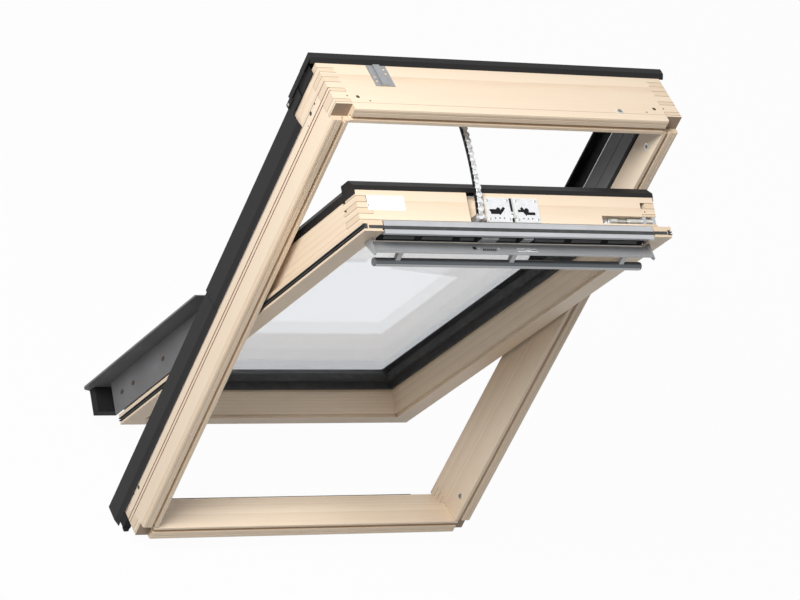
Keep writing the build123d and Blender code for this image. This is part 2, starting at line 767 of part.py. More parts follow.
# Ventilation flap with its handle bar, hinged on the cheeks
bar_y = axis_y - handle_out
bar_z = axis_z - handle_down
flap_points = [(axis_y, axis_z - flap_half_thickness), (axis_y, axis_z + flap_half_thickness)]
flap_points += [(tip_y, tip_z + flap_half_thickness), (tip_y - 1.5, tip_z + 3.5)]
flap_points += [(tip_y - 3, tip_z + 2), (tip_y - 1.5, tip_z - flap_half_thickness)]
with BuildPart() as vent_flap:
    add(across(flap_half, flap_points))
    with BuildSketch(Plane.YZ.offset(-flap_half)):
        with Locations((axis_y, axis_z)):
            Circle(flap_barrel_radius - 0.5)
    extrude(amount=2 * flap_half)
    for side in (-1, 1):
        with BuildSketch(Plane.YZ.offset(side * flap_half)):
            with Locations((axis_y, axis_z)):
                Circle(flap_pin_radius + pin_clearance)
        extrude(amount=-side * (flap_pin_length + cheek_gap), mode=Mode.SUBTRACT)
write_open(vent_flap.part, "vent_flap")
handle_half = flap_half - handle_inset
with BuildPart() as handle_bar:
    with BuildSketch(Plane.YZ.offset(-handle_half)):
        with Locations((bar_y, bar_z)):
            Circle(handle_radius)
    extrude(amount=2 * handle_half)
write_open(handle_bar.part, "handle_bar")
bracket_pitch = opening_half - handle_brackets_inset
flap_slope = flap_rise / flap_width
with BuildPart() as handle_brackets:
    for x in (-bracket_pitch, 0, bracket_pitch):
        with BuildSketch(Plane.YZ.offset(x - handle_bracket_width / 2)):
            with BuildLine():
                Polyline((bar_y - handle_radius / 2, bar_z), (bar_y + handle_radius / 2, bar_z),
                         (tip_y + 12, tip_z - 12 * flap_slope - flap_half_thickness),
                         (tip_y + 2, tip_z - 2 * flap_slope - flap_half_thickness), close=True)
            make_face()
        extrude(amount=handle_bracket_width)
    add(handle_bar.part, mode=Mode.SUBTRACT)
    add(vent_flap.part, mode=Mode.SUBTRACT)
write_open(handle_brackets.part, "handle_brackets")


# Latch parts in the open front of the ventilation rail
def latch(x, width):
    with BuildPart() as block:
        with Locations((x, sash_y + 6 - latch_out / 2, axis_z + latch_height)):
            Box(width, latch_out, latch_height)
    return block.part


write_open(latch(latch_x, latch_width), "latch_case")
write_open(latch(hook_x, hook_width), "latch_hook")

# Lock plates on the top of the sash, each with its keyhole
for hand, x in zip(("left", "right"), plate_xs):
    with BuildPart() as lock_plate:
        with BuildSketch(Plane.XY.offset(timber_top_z)):
            with Locations((x, sash_y + vent_depth + plate_depth / 2)):
                Rectangle(plate_width, plate_depth)
                Circle(keyhole_radius, mode=Mode.SUBTRACT)
                with Locations((-2 * keyhole_radius, -keyhole_radius / 4)):
                    Rectangle(4 * keyhole_radius, keyhole_radius, mode=Mode.SUBTRACT)
        extrude(amount=plate_thickness)
    write_open(lock_plate.part, f"{hand}_lock_plate")

# Bolt and its guide in the recess at the right end of the sash top rail
guide_half = recess_width / 2 - 0.5
saddle_xs = [bolt_end - bolt_barrel + bolt_travel + 2, bolt_end - saddle_width - 2]
with BuildPart() as bolt_guide:
    for x in saddle_xs:
        with BuildSketch(Plane.YZ.offset(x)):
            with Locations((bolt_y, timber_top_z - recess_depth + guide_half)):
                Rectangle(2 * guide_half, 2 * guide_half)
            with Locations((bolt_y, bolt_z)):
                Circle(bolt_radius + pin_clearance, mode=Mode.SUBTRACT)
        extrude(amount=saddle_width)
write_open(bolt_guide.part, "bolt_guide")
with BuildPart() as security_bolt:
    with BuildSketch(Plane.YZ.offset(bolt_end - bolt_barrel)):
        with Locations((bolt_y, bolt_z)):
            Circle(bolt_radius)
    extrude(amount=bolt_barrel)
    with BuildSketch(Plane.YZ.offset(bolt_end - bolt_barrel - bolt_rod)):
        with Locations((bolt_y, bolt_z)):
            Circle(bolt_rod_radius)
    extrude(amount=bolt_rod)
    with BuildSketch(Plane.YZ.offset(bolt_end - bolt_barrel - bolt_rod - bolt_knob)):
        with Locations((bolt_y, bolt_z)):
            Circle(bolt_radius)
    extrude(amount=bolt_knob)
write_open(security_bolt.part, "security_bolt")

# Chain opener under the frame top rail
with BuildPart() as chain_operator:
    with Locations((operator_x, operator_y + operator_depth / 2, top_rail_z - operator_height / 2)):
        Box(operator_length, operator_depth, operator_height)
write(chain_operator.part, "chain_operator")

# Bracket in the notch that holds the end of the chain
bracket_base = timber_top_z - notch_depth
pin_y = sash_y + pin_out
pin_z = timber_top_z + pin_up
with BuildPart() as chain_bracket:
    for side in (-1, 1):
        with Locations((chain_x + side * (link_half + 2), pin_y, (bracket_base + pin_z + 4) / 2)):
            Box(2, 12, pin_z + 4 - bracket_base)
    with Locations((chain_x, pin_y, bracket_base + 1)):
        Box(2 * link_half + 6, 12, 2)
    with BuildSketch(Plane.YZ.offset(chain_x - link_half - 1)):
        with Locations((pin_y, pin_z)):
            Circle(pin_radius)
    extrude(amount=2 * link_half + 2)
write_open(chain_bracket.part, "chain_bracket")

# The chain, pushed out in a shallow bow
turn = radians(sash_open_angle)
end_out = pin_y + 0.4 + pin_radius - pivot_y
end_up = pin_z - pivot_z
end_y = pivot_y + end_out * cos(turn) - end_up * sin(turn)
end_z = pivot_z + end_out * sin(turn) + end_up * cos(turn)
start_y = operator_y - 1
start_z = top_rail_z - chain_start_drop
chord = Vector(end_y - start_y, end_z - start_z)
bow = Vector(-chord.Y, chord.X).normalized() * -chain_bow
middle = Vector((start_y + end_y) / 2, (start_z + end_z) / 2) + bow
with BuildLine(Plane.YZ.offset(chain_x)) as chain_line:
    ThreePointArc((start_y, start_z), (middle.X, middle.Y), (end_y, end_z))
chain_path = chain_line.edges()[0]
link_count = int(chain_path.length / link_pitch)
with BuildPart() as opening_chain:
    for k in range(link_count):
        at = (k + 0.5) / link_count
        across_link = Plane(origin=chain_path.position_at(at), x_dir=(1, 0, 0),
                            z_dir=chain_path.tangent_at(at))
        with BuildSketch(across_link.offset(-link_pitch / 2)):
            Rectangle(2 * link_half, link_height)
        extrude(amount=link_pitch)
write(opening_chain.part, "opening_chain")
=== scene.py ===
"""A centre pivot roof window, photographed from the room side with its sash open.

Lengths are in metres. X runs across the window, Y out of the roof and Z up the slope.
"""
import json
import math

import bmesh
import bpy
from mathutils import Matrix, Vector


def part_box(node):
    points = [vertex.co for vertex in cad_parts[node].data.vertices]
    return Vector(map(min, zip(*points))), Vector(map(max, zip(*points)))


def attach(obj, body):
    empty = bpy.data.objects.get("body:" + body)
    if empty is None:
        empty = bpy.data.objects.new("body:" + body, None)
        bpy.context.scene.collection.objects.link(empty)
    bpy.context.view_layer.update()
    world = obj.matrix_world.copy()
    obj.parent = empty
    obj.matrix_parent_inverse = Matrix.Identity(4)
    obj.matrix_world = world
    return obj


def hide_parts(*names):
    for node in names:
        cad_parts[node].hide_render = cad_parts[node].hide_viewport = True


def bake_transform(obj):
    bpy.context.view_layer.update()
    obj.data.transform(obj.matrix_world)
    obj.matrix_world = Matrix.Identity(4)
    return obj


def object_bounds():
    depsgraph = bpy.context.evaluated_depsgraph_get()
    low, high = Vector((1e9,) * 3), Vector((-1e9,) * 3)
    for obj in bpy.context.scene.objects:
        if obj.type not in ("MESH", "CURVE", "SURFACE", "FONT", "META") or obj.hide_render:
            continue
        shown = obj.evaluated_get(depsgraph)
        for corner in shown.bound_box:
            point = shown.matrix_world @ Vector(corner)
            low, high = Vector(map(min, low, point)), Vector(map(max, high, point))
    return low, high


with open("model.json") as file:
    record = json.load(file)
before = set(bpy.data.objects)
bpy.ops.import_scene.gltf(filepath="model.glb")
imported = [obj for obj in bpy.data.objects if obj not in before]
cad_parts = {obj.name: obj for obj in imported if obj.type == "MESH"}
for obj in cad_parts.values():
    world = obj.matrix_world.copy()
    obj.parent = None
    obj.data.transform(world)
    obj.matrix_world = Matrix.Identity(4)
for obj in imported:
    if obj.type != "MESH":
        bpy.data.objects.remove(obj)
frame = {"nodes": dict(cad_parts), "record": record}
cad_box = [list(corner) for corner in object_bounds()]
nodes = frame["nodes"]
record = frame["record"]

# Camera and studio
# A long lens looks down on the room side from the left, as in the photograph. The window stands
# on a white sheet under a large soft lamp high on the left, with weak light from all round.
lens = bpy.data.cameras.new("camera")
lens.sensor_width = 36.0
lens.lens = 173.5
lens.clip_end = 100.0
camera = bpy.data.objects.new("camera", lens)
right = Vector((0.8623, -0.3581, 0.3581)).normalized()
up = Vector((-0.0096, 0.6953, 0.7186)).normalized()
back = right.cross(up).normalized()
up = back.cross(right)
turn = Matrix((right, up, back)).transposed().to_4x4()
camera.matrix_world = Matrix.Translation((-3.9168, -4.8231, 5.2347)) @ turn
bpy.context.scene.collection.objects.link(camera)
bpy.context.scene.camera = camera
bpy.context.scene.view_settings.view_transform = "Standard"


class Wire:
    """A socket that can stand in a sum, where it adds Math nodes."""

    def __init__(self, finish, socket):
        self.finish = finish
        self.socket = socket

    def maths(self, operation, *terms):
        return self.finish.add("ShaderNodeMath", {"operation": operation}, dict(enumerate(terms)))

    def __add__(self, other):
        return self.maths("ADD", self, other)

    def __radd__(self, other):
        return self.maths("ADD", other, self)

    def __sub__(self, other):
        return self.maths("SUBTRACT", self, other)

    def __rsub__(self, other):
        return self.maths("SUBTRACT", other, self)

    def __mul__(self, other):
        return self.maths("MULTIPLY", self, other)

    def __rmul__(self, other):
        return self.maths("MULTIPLY", other, self)

    def __abs__(self):
        return self.maths("ABSOLUTE", self)

    def near(self, value, reach):
        return self.maths("COMPARE", self, value, reach)

    def over(self, value):
        return self.maths("GREATER_THAN", self, value)

    def highest(self, other):
        return self.maths("MAXIMUM", self, other)


class Finish:
    """A surface finish, built up node by node."""

    def __init__(self, name, owner=None):
        self.material = owner or bpy.data.materials.new(name)
        self.material.use_nodes = True
        self.tree = self.material.node_tree
        self.skin = self.tree.nodes.get("Principled BSDF")

    def add(self, kind, settings=None, inputs=None, out=0):
        node = self.tree.nodes.new(kind)
        for key, value in (settings or {}).items():
            if key == "stops":
                ramp = node.color_ramp
                while len(ramp.elements) < len(value):
                    ramp.elements.new(0.5)
                for stop, (place, shade) in zip(ramp.elements, value):
                    stop.position = place
                    stop.color = (*shade, 1.0)
            else:
                setattr(node, key, value)
        for key, value in (inputs or {}).items():
            self.join(value, node.inputs[key])
        return Wire(self, node.outputs[out])

    def join(self, value, socket):
        if isinstance(value, Wire):
            self.tree.links.new(value.socket, socket)
        else:
            socket.default_value = value

    def set(self, **values):
        for key, value in values.items():
            self.join(value, self.skin.inputs[key.replace("_", " ")])

    def spot(self, scale=(1, 1, 1), place=(0, 0, 0), turned=(0, 0, 0), source=None):
        source = source or self.add("ShaderNodeTexCoord", out="Object")
        return self.add("ShaderNodeMapping", None,
                        {"Vector": source, "Scale": scale, "Location": place, "Rotation": turned})

    def noise(self, vector, scale, detail=2.0, roughness=0.5):
        return self.add("ShaderNodeTexNoise", None, {"Vector": vector, "Scale": scale,
                                                     "Detail": detail, "Roughness": roughness})

    def axes(self, vector):
        node = self.add("ShaderNodeSeparateXYZ", None, {0: vector}).socket.node
        return [Wire(self, out) for out in node.outputs]

    def mixed(self, factor, first, second):
        return self.add("ShaderNodeMix", {"data_type": "RGBA"}, {0: factor, 6: first, 7: second},
                        out=2)

    def ramp(self, factor, *stops):
        return self.add("ShaderNodeValToRGB", {"stops": stops}, {0: factor})

    def bump(self, height, strength, distance):
        self.set(Normal=self.add("ShaderNodeBump", None, {"Height": height, "Strength": strength,
                                                          "Distance": distance}))


world = bpy.data.worlds.new("studio")
bpy.context.scene.world = world
sky = Finish("studio", world)
camera_rays = ("Is Camera Ray", "Is Glossy Ray", "Is Transmission Ray")


def seen(finish):
    """One for what the camera sees straight on, in a mirror or through glass."""
    first, second, third = (finish.add("ShaderNodeLightPath", out=ray) for ray in camera_rays)
    return first + second + third


room_light = 0.22
glow = sky.tree.nodes["Background"]
sky.join((1.0, 1.0, 1.0, 1.0), glow.inputs["Color"])
sky.join(seen(sky) * (1.0 - room_light) + room_light, glow.inputs["Strength"])


def lamp(name, place, aim, size, power):
    light = bpy.data.lights.new(name, "AREA")
    light.shape = "DISK"
    light.size = size
    light.energy = power
    thing = bpy.data.objects.new(name, light)
    way = Vector(aim) - Vector(place)
    thing.matrix_world = Matrix.Translation(place) @ way.to_track_quat("-Z", "Y").to_matrix().to_4x4()
    bpy.context.scene.collection.objects.link(thing)


lamp("key_lamp", (-2.8, -1.0, 4.3), (0, 0, 0.6), 2.2, 285.0)


def solid(name, mesh, *finishes):
    """Turns a finished bmesh into a piece at the origin."""
    data = bpy.data.meshes.new(name)
    mesh.to_mesh(data)
    mesh.free()
    thing = bpy.data.objects.new(name, data)
    bpy.context.scene.collection.objects.link(thing)
    for finish in finishes:
        data.materials.append(finish.material)
    return thing


floor_mesh = bmesh.new()
floor_gap = 0.0002
floor_level = cad_box[0][2] - floor_gap
bmesh.ops.create_grid(floor_mesh, x_segments=1, y_segments=1, size=30.0,
                      matrix=Matrix.Translation((0, 0, floor_level)))
sheet = Finish("white_sheet")
sheet.set(Base_Color=(0.45, 0.45, 0.45, 1.0), Roughness=0.9)
white = sheet.add("ShaderNodeEmission", None, {"Color": (1, 1, 1, 1), "Strength": 1.0})
cover = sheet.add("ShaderNodeMixShader", None, {0: seen(sheet) * 0.97, 2: white})
mix = cover.socket.node
sheet.tree.links.new(sheet.skin.outputs[0], mix.inputs[1])
sheet.tree.links.new(mix.outputs[0], sheet.tree.nodes["Material Output"].inputs[0])
solid("floor", floor_mesh, sheet)


# Frame timber
# Finger jointed pine members with a clear lacquer. The stiles' grain runs up the window and the
# rails' grain across it. The saw's cuts for the side covers are painted dark red, as painted shade in the
# slits.
def pine(name, grain, local=None, layers=(), corner=(0.354, 0.0335, 1.142), kerfs=None):
    """Lacquered pine whose growth rings run round a heart outside the member.

    Layers are the glue lines of a corner's fingers in Y, and corner is where the fingers begin in X
    and end in Z. Kerfs are the saw cuts of a stile: their side, middle, both cuts and a stripe.
    """
    wood = Finish(name)
    square_on = 0.8
    joint_line = 0.0007
    spot = wood.add("ShaderNodeTexCoord", out="Object")
    facing = wood.add("ShaderNodeTexCoord", out="Normal")
    if local:
        back = local.inverted()
        angles = tuple(back.to_euler())
        spot = wood.spot(place=tuple(back.translation), turned=angles, source=spot)
        facing = wood.spot(turned=angles, source=facing)
    slow = (0.05, 1, 1) if grain == "X" else (1, 1, 0.05)
    fine = (0.025, 1, 1) if grain == "X" else (1, 1, 0.025)
    log = wood.spot(scale=slow, place=(0.03, 0.07, 0.09), source=spot)
    rings = wood.add("ShaderNodeTexWave", {"wave_type": "RINGS", "rings_direction": grain,
                                           "wave_profile": "SAW"},
                     {"Vector": log, "Scale": 62.0, "Distortion": 5.0, "Detail": 2.0,
                      "Detail Scale": 0.07, "Detail Roughness": 0.5}, out=1)
    fibres = wood.noise(wood.spot(scale=fine, source=spot), 700.0, 3.0, 0.6)
    patches = wood.noise(wood.spot(scale=slow, source=spot), 22.0)
    tone = rings * 0.30 + fibres * 0.42 + patches * 0.34
    colour = wood.ramp(tone, (0.30, (0.80, 0.665, 0.51)), (0.62, (0.75, 0.60, 0.445)),
                       (0.86, (0.63, 0.47, 0.325)))
    nx, ny, nz = wood.axes(facing)
    x, y, z = wood.axes(spot)
    end = abs(nx if grain == "X" else nz).over(square_on)
    pores = wood.noise(spot, 900.0, 2.0, 0.7)
    cut = wood.ramp(rings * 0.35 + pores * 0.6, (0.25, (0.74, 0.59, 0.43)),
                    (0.85, (0.62, 0.475, 0.33)))
    colour = wood.mixed(end, colour, cut)
    side, low, high = corner
    inner = abs(x)
    joint = z.over(high) + (1.0 - z.over(low))
    if grain == "X":
        joint = inner.over(side)
    line = None
    for layer in layers:
        mark = y.near(layer, 0.0006)
        line = mark if line is None else line.highest(mark)
    if grain == "X":
        ends = z.near(high, joint_line).highest(z.near(low, joint_line)) * abs(nx).over(square_on)
    else:
        ends = inner.near(side, joint_line) * abs(nz).over(square_on)
    if line is not None:
        colour = wood.mixed((line * joint).highest(ends) * 0.8, colour, (0.16, 0.09, 0.045, 1.0))
    if grain == "X" and not local:
        # A dark brown line across the top of the top rail is painted shade of a groove.
        groove_y = -0.050
        groove = y.near(groove_y, 0.0005) * abs(nz).over(square_on) * z.over(high)
        colour = wood.mixed(groove * 0.7, colour, (0.25, 0.15, 0.08, 1.0))
    if kerfs:
        cut_side, between, first_cut, second_cut, stripe_y = kerfs
        cut_half = 0.0012
        # The saw cuts are painted dark red, as painted shade inside the slits.
        deep = inner.near(cut_side, 0.0019) * y.near(between, 0.006)
        deep = deep * y.near(first_cut, cut_half).highest(y.near(second_cut, cut_half))
        colour = wood.mixed(deep, colour, (0.22, 0.045, 0.025, 1.0))
        outer_face = 0.3895
        stripe = abs(nx).over(square_on) * inner.over(outer_face) * y.near(stripe_y, 0.0009)
        colour = wood.mixed(stripe * 0.8, colour, (0.09, 0.05, 0.10, 1.0))
    wood.set(Base_Color=colour, Roughness=0.40 + fibres * 0.2, Coat_Weight=0.25, Coat_Roughness=0.3)
    wood.bump(fibres * 0.6 + rings * 0.4, 0.25, 0.0004)
    return wood


def dress(finish, *names):
    for name in names:
        thing = nodes[name]
        thing.data.materials.clear()
        thing.data.materials.append(finish.material)


frame_layers = (-0.055, -0.050, -0.041, -0.020, -0.0105, 0.0065, 0.0205, 0.034, 0.047)
saw_cuts = (0.3885, -0.0155, -0.0112, -0.0199, 0.0085)
stile_pine = pine("frame_stile_pine", "Z", layers=frame_layers, kerfs=saw_cuts)
rail_pine = pine("frame_rail_pine", "X", layers=frame_layers)
dress(stile_pine, "frame_left_stile", "frame_right_stile")
dress(rail_pine, "frame_top_rail", "frame_bottom_rail")

# Bushes and small bores in the frame timber
# Turned zinc plated bushes take the bolt and the pins of a blind. Dark discs beside them are painted
# shadow in the bores where the fingers of each corner are pinned.
def plated(name, colour=(0.62, 0.62, 0.60), rough=0.32):
    """Bright zinc with the faint flowers and rubbed patches of plating."""
    zinc = Finish(name)
    spot = zinc.add("ShaderNodeTexCoord", out="Object")
    flowers = zinc.add("ShaderNodeTexVoronoi", {"feature": "SMOOTH_F1"},
                       {"Vector": spot, "Scale": 260.0, "Smoothness": 0.6})
    cloud = zinc.noise(spot, 90.0, 3.0)
    pale = tuple(min(1.0, part * 1.12) for part in colour)
    dull = tuple(part * 0.80 for part in colour)
    shade = zinc.ramp(flowers * 0.4 + cloud * 0.7, (0.25, pale), (0.60, colour), (0.95, dull))
    zinc.set(Base_Color=shade, Metallic=0.85, Roughness=rough + cloud * 0.18)
    zinc.bump(cloud, 0.12, 0.0002)
    return zinc


zinc_steel = plated("zinc_steel")
dress(zinc_steel, "stile_bushes", "top_rail_bush")

# Painted shadow for bores, slots and screw recesses: a dark brown with a faint noise.
shadow = Finish("bore_shadow")
bore_shadow_noise = shadow.noise(shadow.spot(), 500.0)
shadow.set(Base_Color=shadow.ramp(bore_shadow_noise, (0.3, (0.035, 0.025, 0.018)), (0.8, (0.09, 0.06, 0.04))),
           Roughness=0.9)


def disc(mesh, centre, axis, radius, thick, steps=20):
    """A thin round piece that stands on a surface."""
    way = Vector(axis).normalized()
    turned = way.to_track_quat("Z", "Y").to_matrix().to_4x4()
    place = Matrix.Translation(Vector(centre) + way * thick / 2) @ turned
    made = bmesh.ops.create_cone(mesh, cap_ends=True, segments=steps, radius1=radius,
                                 radius2=radius * 0.94, depth=thick, matrix=place)
    return made["verts"]


hair = 0.00012
frame_side = 0.390
frame_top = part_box("frame_top_rail")[1][2]
bores = bmesh.new()
for side in (-1, 1):
    for y, z, radius in ((0.004, 1.0995, 0.0045), (0.0057, 1.1226, 0.0022), (-0.006, 1.077, 0.0014),
                         (0.0036, 0.0796, 0.0045), (0.0083, 0.0549, 0.0022)):
        disc(bores, (side * frame_side, y, z), (side, 0, 0), radius, hair)
    for x, y, radius in ((0.3345, -0.0335, 0.0040), (0.312, -0.044, 0.0018), (0.357, -0.032, 0.0018)):
        disc(bores, (side * x, y, frame_top), (0, 0, 1), radius, hair)
piece = solid("frame_pin_bore_shadows", bores, shadow)
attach(piece, "frame")

# Metal covers of the frame
# Folded sheet with a satin dark grey lacquer, hooked into the saw cuts of the timber. The top
# cover caps the rail and comes down the ends, where a clip and a screw hold it.


def lacquer(name, shade, rough):
    """Stove lacquer on sheet: fine orange peel and slightly uneven gloss."""
    coat = Finish(name)
    spot = coat.add("ShaderNodeTexCoord", out="Object")
    peel = coat.noise(spot, 850.0, 2.0)
    dust = coat.noise(spot, 14.0, 4.0, 0.6)
    pale = tuple(part * 1.25 for part in shade)
    deep = tuple(part * 0.85 for part in shade)
    coat.set(Base_Color=coat.ramp(dust * 0.8 + peel * 0.2, (0.30, deep), (0.55, shade), (0.8, pale)),
             Roughness=rough + dust * 0.12, Specular_IOR_Level=0.25)
    coat.bump(peel, 0.10, 0.00025)
    return coat


dark_sheet = lacquer("dark_sheet", (0.0085, 0.0080, 0.0080), 0.50)
grey_sheet = lacquer("grey_sheet", (0.150, 0.150, 0.154), 0.45)
# Black lacquer for the laps of the side covers; the same black sheet paints shade at the back of the
# ventilation rail's recess.
black_sheet_and_shade = lacquer("black_sheet_and_shade", (0.006, 0.006, 0.0065), 0.55)
black_sheet_and_shade.set(Specular_IOR_Level=0.2)
# Black plastic for the plugs. The same finish also paints shade in screw recesses, in the lock plates'
# keyholes, holes and slot, under the keyholes and along the chain.
black_plastic = Finish("black_plastic")
skin_grain = black_plastic.noise(black_plastic.spot(), 900.0, 3.0)
black_plastic.set(Base_Color=black_plastic.ramp(skin_grain, (0.3, (0.006, 0.006, 0.006)),
                                                (0.8, (0.014, 0.014, 0.014))),
                  Roughness=0.6 + skin_grain * 0.15, Specular_IOR_Level=0.15)
black_plastic.bump(skin_grain, 0.3, 0.00015)
dress(dark_sheet, "frame_top_cover", "frame_drip_cover", "frame_left_lower_cover",
      "frame_right_lower_cover")
dress(grey_sheet, "frame_left_channel_wall", "frame_right_channel_wall")


def screw(mesh, centre, axis, radius):
    """A pan head with a star recess, its rim rounded over.

    The recess is cut from the corner that lies furthest along, so that each run gives the same one.
    """
    way = Vector(axis).normalized()
    turned = way.to_track_quat("Z", "Y").to_matrix().to_4x4()
    place = Matrix.Translation(Vector(centre) + way * radius * 0.2) @ turned
    made = bmesh.ops.create_cone(mesh, cap_ends=True, segments=24, radius1=radius,
                                 radius2=radius, depth=radius * 0.4, matrix=place)["verts"]
    rim = {edge for vert in made for edge in vert.link_edges
           if len(edge.link_faces) == 2 and edge.calc_face_angle() > 1.0
           and (sum((v.co for v in edge.verts), Vector()) / 2 - Vector(centre)).dot(way) > radius * 0.3}
    bmesh.ops.bevel(mesh, geom=list(rim), offset=radius * 0.22, segments=3, profile=0.5,
                    affect="EDGES", material=-1)
    cap = max((face for face in mesh.faces if face.normal.dot(way) > 0.9 and
               (face.calc_center_median() - Vector(centre)).length < radius),
              key=lambda face: face.calc_area())
    bmesh.ops.inset_individual(mesh, faces=[cap], thickness=radius * 0.38)
    ring = list(cap.verts)
    first = max(range(len(ring)), key=lambda k: [round(part, 6) for part in ring[k].co])
    for k, vert in enumerate(ring[first:] + ring[:first]):
        if k % 4 < 2:
            vert.co += (cap.calc_center_median() - vert.co) * 0.45
    sunk = bmesh.ops.extrude_discrete_faces(mesh, faces=[cap])["faces"][0]
    bmesh.ops.translate(mesh, verts=sunk.verts, vec=-way * radius * 0.28)
    # The recess takes the piece's second finish, which paints the shade in it.
    sunk.material_index = 1


def block(mesh, size, place, bevel, segments=2, finish=0):
    """A box with rounded edges, set at a place given as a matrix."""
    made = bmesh.ops.create_cube(mesh, size=1.0, matrix=place @ Matrix.Diagonal((*size, 1.0)))["verts"]
    edges = {edge for vert in made for edge in vert.link_edges}
    for face in {face for vert in made for face in vert.link_faces}:
        face.material_index = finish
    bmesh.ops.bevel(mesh, geom=list(edges), offset=bevel, segments=segments, profile=0.5,
                    affect="EDGES", material=-1)


at = Matrix.Translation


def folded(mesh, points, low, high, thick=0.0016, finish=0):
    """Sheet metal along Z, folded along a line of places in X and Y."""
    made = [mesh.verts.new((x, y, low)) for x, y in points]
    edges = [mesh.edges.new(pair) for pair in zip(made, made[1:])]
    grown = bmesh.ops.extrude_edge_only(mesh, edges=edges)["geom"]
    bmesh.ops.translate(mesh, verts=[v for v in grown if isinstance(v, bmesh.types.BMVert)],
                        vec=(0, 0, high - low))
    faces = [face for face in grown if isinstance(face, bmesh.types.BMFace)]
    bmesh.ops.recalc_face_normals(mesh, faces=faces)
    shell = bmesh.ops.solidify(mesh, geom=faces, thickness=thick)["geom"]
    for face in set(faces) | {face for face in shell if isinstance(face, bmesh.types.BMFace)}:
        face.material_index = finish


joints = {joint["name"]: joint for joint in record["behaviour"]["joints"]}
hinge = Vector(joints["sash_pivot"]["pos_m"])
cover_top = 1.0596
rail_low = 1.142
lap_foot = hinge.z + 0.050
lining_x = 0.3564
lining_y = 0.0196
lining_width = 0.0325
lining_thick = 0.0010
lining_runs = ((hinge.z + 0.040, 1.0694), (1.0702, rail_low))
for hand, side in (("left", -1), ("right", 1)):
    run = [(0.3912, 0.0104), (0.3912, 0.0140), (0.3944, 0.0260), (0.3944, 0.0696)]
    run += [(0.3656, 0.0696), (0.3656, 0.0644)]
    wall = bmesh.new()
    folded(wall, [(side * x, y) for x, y in run], hinge.z, cover_top)
    bmesh.ops.recalc_face_normals(wall, faces=wall.faces[:])
    piece = solid("upper_cover_" + hand, wall, dark_sheet)
    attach(piece, "frame")
    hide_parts("frame_" + hand + "_upper_cover")
    lap = bmesh.new()
    folded(lap, [(side * 0.3566, 0.0705), (side * 0.3566, 0.0978), (side * 0.3388, 0.0978),
                 (side * 0.3388, 0.1010)], lap_foot, rail_low, 0.0012)
    bmesh.ops.recalc_face_normals(lap, faces=lap.faces[:])
    piece = solid("cover_lap_" + hand, lap, black_sheet_and_shade)
    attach(piece, "frame")
    lining = bmesh.new()
    for low, high in reversed(lining_runs):
        block(lining, (lining_thick, lining_width, high - low),
              at((side * lining_x, lining_y, (low + high) / 2)), 0.0003, 1)
    screw(lining, (side * 0.3558, 0.024, 1.108), (-side, 0, 0), 0.0034)
    bmesh.ops.recalc_face_normals(lining, faces=lining.faces[:])
    piece = solid("channel_lining_" + hand, lining, grey_sheet, shadow)
    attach(piece, "frame")
    foot_plug = bmesh.new()
    block(foot_plug, (0.017, 0.025, 0.0276), at((side * 0.3835, 0.0025, -0.0152)), 0.0012)
    block(foot_plug, (0.011, 0.012, 0.010), at((side * 0.3835, -0.0065, -0.0310)), 0.0012)
    piece = solid("stile_foot_plug_" + hand, foot_plug, black_plastic)
    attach(piece, "frame")

fixings = bmesh.new()
for side in (-1, 1):
    block(fixings, (0.0014, 0.030, 0.046), at((side * 0.3962, 0.0600, 1.0830)), 0.0006, 2, 2)
    block(fixings, (0.0030, 0.012, 0.026), at((side * 0.3978, 0.0690, 1.0700)), 0.0012, 3, 2)
    screw(fixings, (side * 0.3984, 0.0690, 1.0640), (side, 0, 0), 0.0030)
    block(fixings, (0.0030, 0.0310, 0.096), at((side * 0.3925, 0.0630, 1.1140)), 0.0006, 1, 2)
piece = solid("top_cover_fixings", fixings, zinc_steel, shadow, dark_sheet)
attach(piece, "frame")

# Frame seals
# Extruded dark rubber in the channel of each stile, slightly dusty and pitted.
rubber = Finish("rubber")
rubber_spot = rubber.add("ShaderNodeTexCoord", out="Object")
bloom = rubber.noise(rubber_spot, 60.0, 4.0)
pitted = rubber.noise(rubber_spot, 1500.0)
rubber.set(Base_Color=rubber.ramp(bloom, (0.35, (0.026, 0.027, 0.028)),
                                  (0.75, (0.050, 0.051, 0.052))),
           Roughness=0.55 + bloom * 0.2)
rubber.bump(pitted, 0.2, 0.0001)
dress(rubber, "frame_left_seal", "frame_right_seal")

# Fixing bracket
# Pressed from galvanised strip with a raised rib. Dark discs in its four holes are painted shadow on the
# timber.
bracket_steel = plated("bracket_steel", (0.36, 0.37, 0.38), 0.38)
dress(bracket_steel, "top_fixing_bracket")
bracket_holes = bmesh.new()
for x, y in ((-0.275, 0.007), (-0.275, 0.019), (-0.247, 0.029), (-0.247, 0.041)):
    disc(bracket_holes, (x, y, frame_top), (0, 0, 1), 0.0028, 0.0004)
piece = solid("bracket_hole_shadows", bracket_holes, shadow)
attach(piece, "frame")

# Sash timber
# The same lacquered pine. Its places are given in the sash's own terms: across, out from its
# room face and up from its foot, and the whole is swung open on the pivot.
opened = math.radians(-joints["sash_pivot"]["range_deg"][0])
foot = Vector((0, -0.022, 0.0341))
sash_place = at(hinge) @ Matrix.Rotation(opened, 4, "X") @ at(foot - hinge)
finger = 0.0119
sash_layers = [0.034 + finger * k for k in range(5)]
sash_corner = (0.304, 0.034, 1.010)
sash_stile_pine = pine("sash_stile_pine", "Z", sash_place, sash_layers, sash_corner)
sash_rail_pine = pine("sash_rail_pine", "X", sash_place, sash_layers, sash_corner)
dress(sash_stile_pine, "sash_left_stile", "sash_right_stile")
dress(sash_rail_pine, "sash_top_rail", "sash_bottom_rail")
dress(rubber, "sash_seal", "glazing_gasket")

timber_top = 1.062
